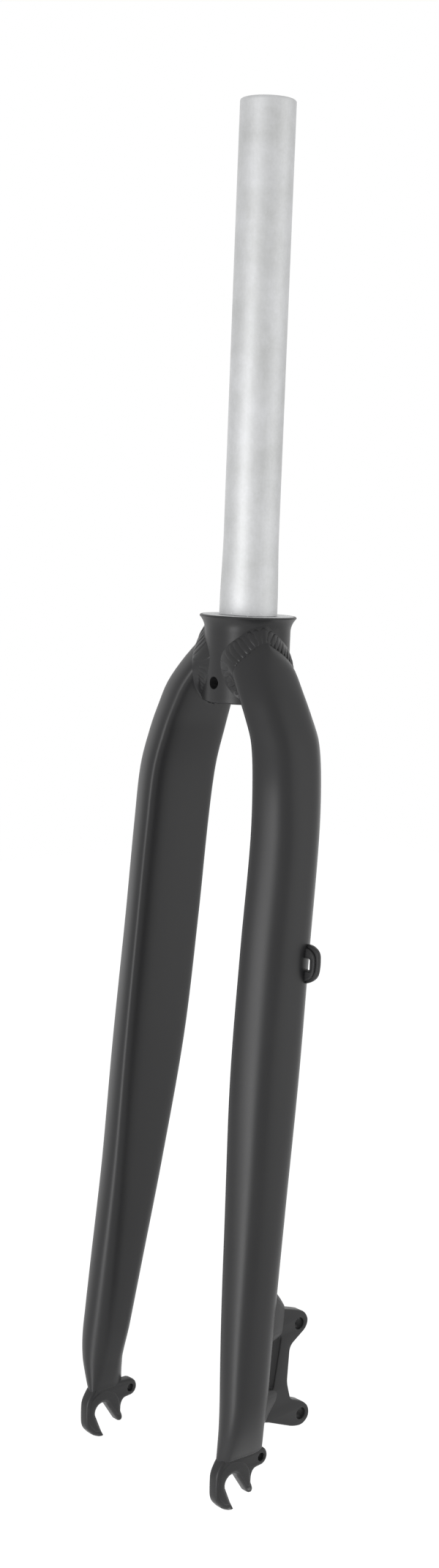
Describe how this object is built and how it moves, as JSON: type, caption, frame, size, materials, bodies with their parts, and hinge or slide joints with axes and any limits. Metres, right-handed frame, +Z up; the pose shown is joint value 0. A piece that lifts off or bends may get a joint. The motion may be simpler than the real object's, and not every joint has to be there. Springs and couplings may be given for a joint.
{
  "type": "rigid bicycle fork",
  "caption": "Rigid bicycle fork with a straight bare steerer, a flared crown tube, curved tapering hollow blades, open hooked dropouts, a disc brake mount and a hose guide.",
  "frame": {"origin": "centre of the crown's top face, where the headset race sits, on the steerer axis", "axes": "+Z up along the steerer, +X to the rider's left, -Y to the front of the bicycle"},
  "size_m": [0.1342, 0.0754, 0.7152],
  "materials": {
    "bare_aluminium": "satin, brushed and lightly stained",
    "black_paint": "satin dark charcoal paint"
  },
  "bodies": {
    "root": {"steerer_tube": "bare_aluminium", "crown_tube": "black_paint", "left_blade": "black_paint", "right_blade": "black_paint", "left_dropout": "black_paint", "right_dropout": "black_paint", "disc_mount": "black_paint", "hose_guide": "black_paint", "left_crown_weld": "black_paint", "right_crown_weld": "black_paint", "upper_mount_weld": "black_paint", "lower_mount_weld": "black_paint"}
  },
  "joints": []
}
